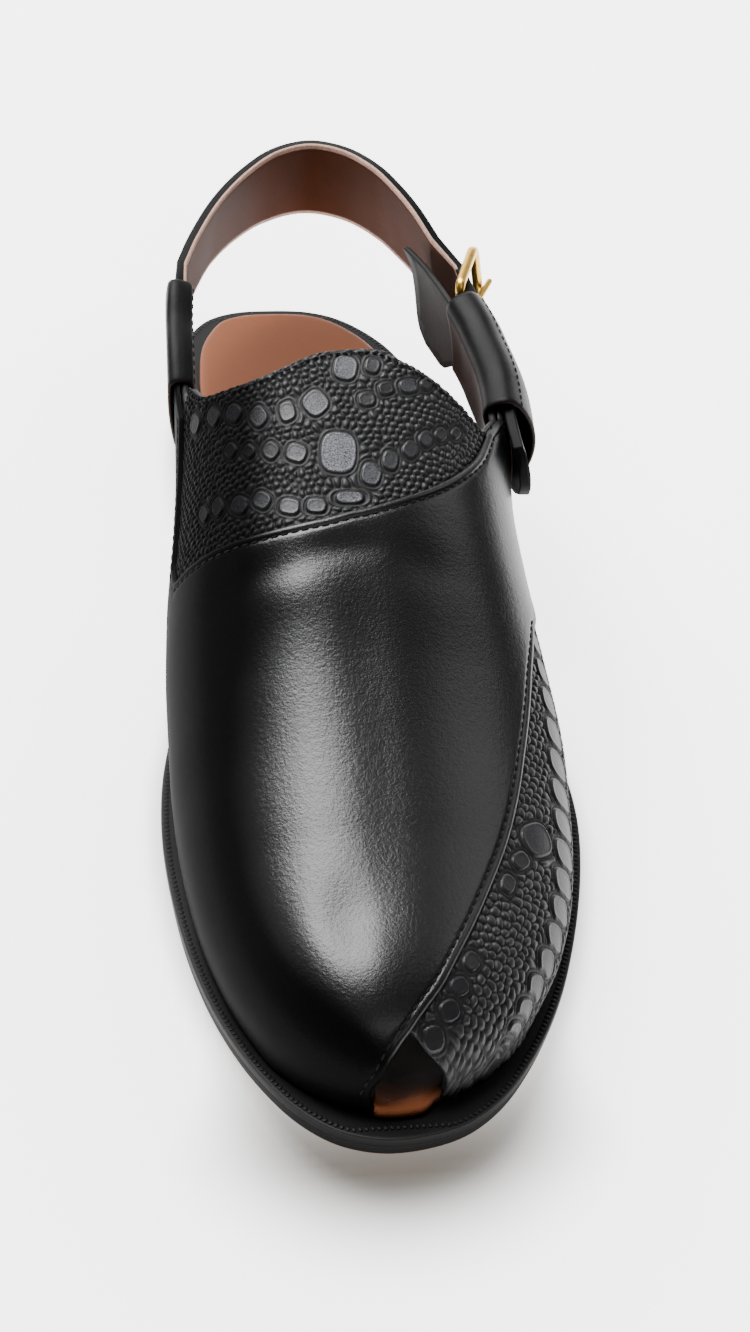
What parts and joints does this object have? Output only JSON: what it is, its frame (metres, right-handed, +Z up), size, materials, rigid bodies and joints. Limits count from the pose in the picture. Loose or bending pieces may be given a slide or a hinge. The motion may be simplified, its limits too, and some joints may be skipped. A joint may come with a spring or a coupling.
{
  "type": "peshawari chappal",
  "caption": "Closed leather sandal with an open toe, an embossed instep flap and side panel under a smooth vamp, a low heel, and a buckled strap round the open heel.",
  "frame": {"origin": "on the floor under the middle of the heel seat, at the heel_rest mount on the heel's flat underside", "axes": "+Z up, the toe points to -Y and the heel to +Y, +X is the outer (lateral) side of the left foot, where the buckle is"},
  "size_m": [0.1052, 0.2923, 0.0913],
  "materials": {
    "outsole": "dyed and waxed edge, charcoal",
    "welt": "black, satin",
    "insole": "smooth tan, satin",
    "embossed": "black, embossed with pebble scales, satin",
    "vamp": "black, smooth fine grain, glossy",
    "strap": "black outside, brown lining, satin",
    "brass": "polished"
  },
  "bodies": {
    "root": {"outsole": "outsole", "heel": "outsole", "welt": "welt", "insole": "insole", "upper": "embossed", "vamp": "vamp", "heel_strap": "strap", "medial_loop": "strap", "lateral_loop": "strap", "buckle_frame": "brass", "buckle_prong": "brass"}
  },
  "joints": []
}
